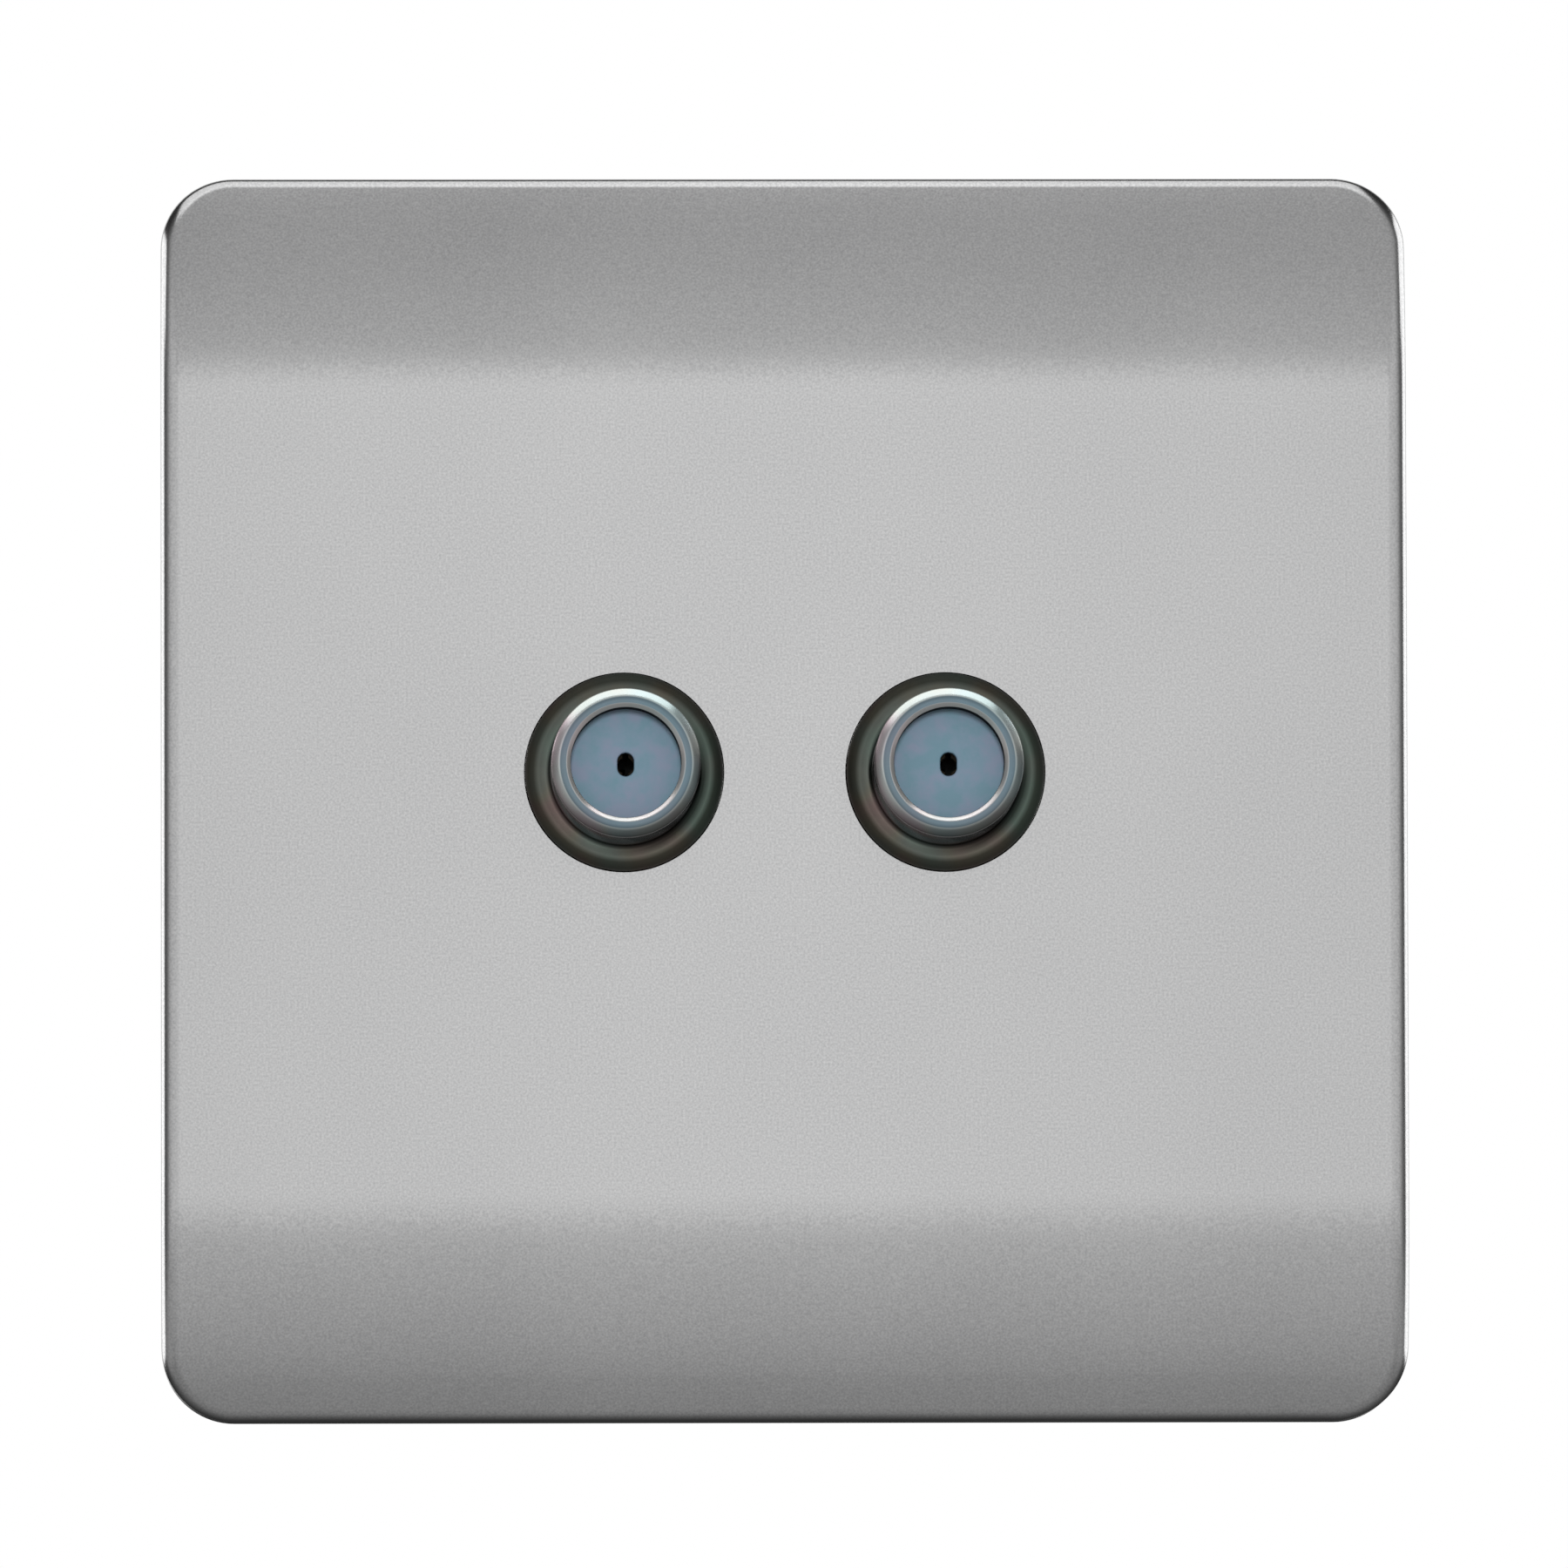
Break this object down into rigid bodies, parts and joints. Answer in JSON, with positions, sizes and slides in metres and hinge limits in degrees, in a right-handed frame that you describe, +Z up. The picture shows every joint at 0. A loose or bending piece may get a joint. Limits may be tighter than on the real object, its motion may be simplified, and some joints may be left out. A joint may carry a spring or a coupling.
{
  "type": "satellite wall socket",
  "caption": "Square clip-on wall plate with curved top and bottom edges and two threaded F sockets side by side, on a screw-fixed frame with aerial inlets behind.",
  "frame": {"origin": "middle of the plate on the wall plane", "axes": "+Y into the wall, so the front faces -Y; +Z up; +X to the right as seen from the front"},
  "size_m": [0.08, 0.0408, 0.08],
  "materials": {
    "silver_plastic": "smooth silver metallic coat",
    "frame_plastic": "moulded, light grey",
    "plated_brass": "nickel plated",
    "insulator_plastic": "smooth, grey blue",
    "contact_bronze": "spring bronze",
    "zinc_steel": "bright zinc plated"
  },
  "bodies": {
    "root": {"fascia": "silver_plastic", "mounting_frame": "frame_plastic", "left_coupler_shell": "plated_brass", "right_coupler_shell": "plated_brass", "left_front_insulator": "insulator_plastic", "right_front_insulator": "insulator_plastic", "left_rear_insulator": "insulator_plastic", "right_rear_insulator": "insulator_plastic", "left_centre_contact": "contact_bronze", "right_centre_contact": "contact_bronze", "lock_washers": "zinc_steel", "panel_nuts": "plated_brass", "fixing_screws": "zinc_steel"}
  },
  "joints": []
}
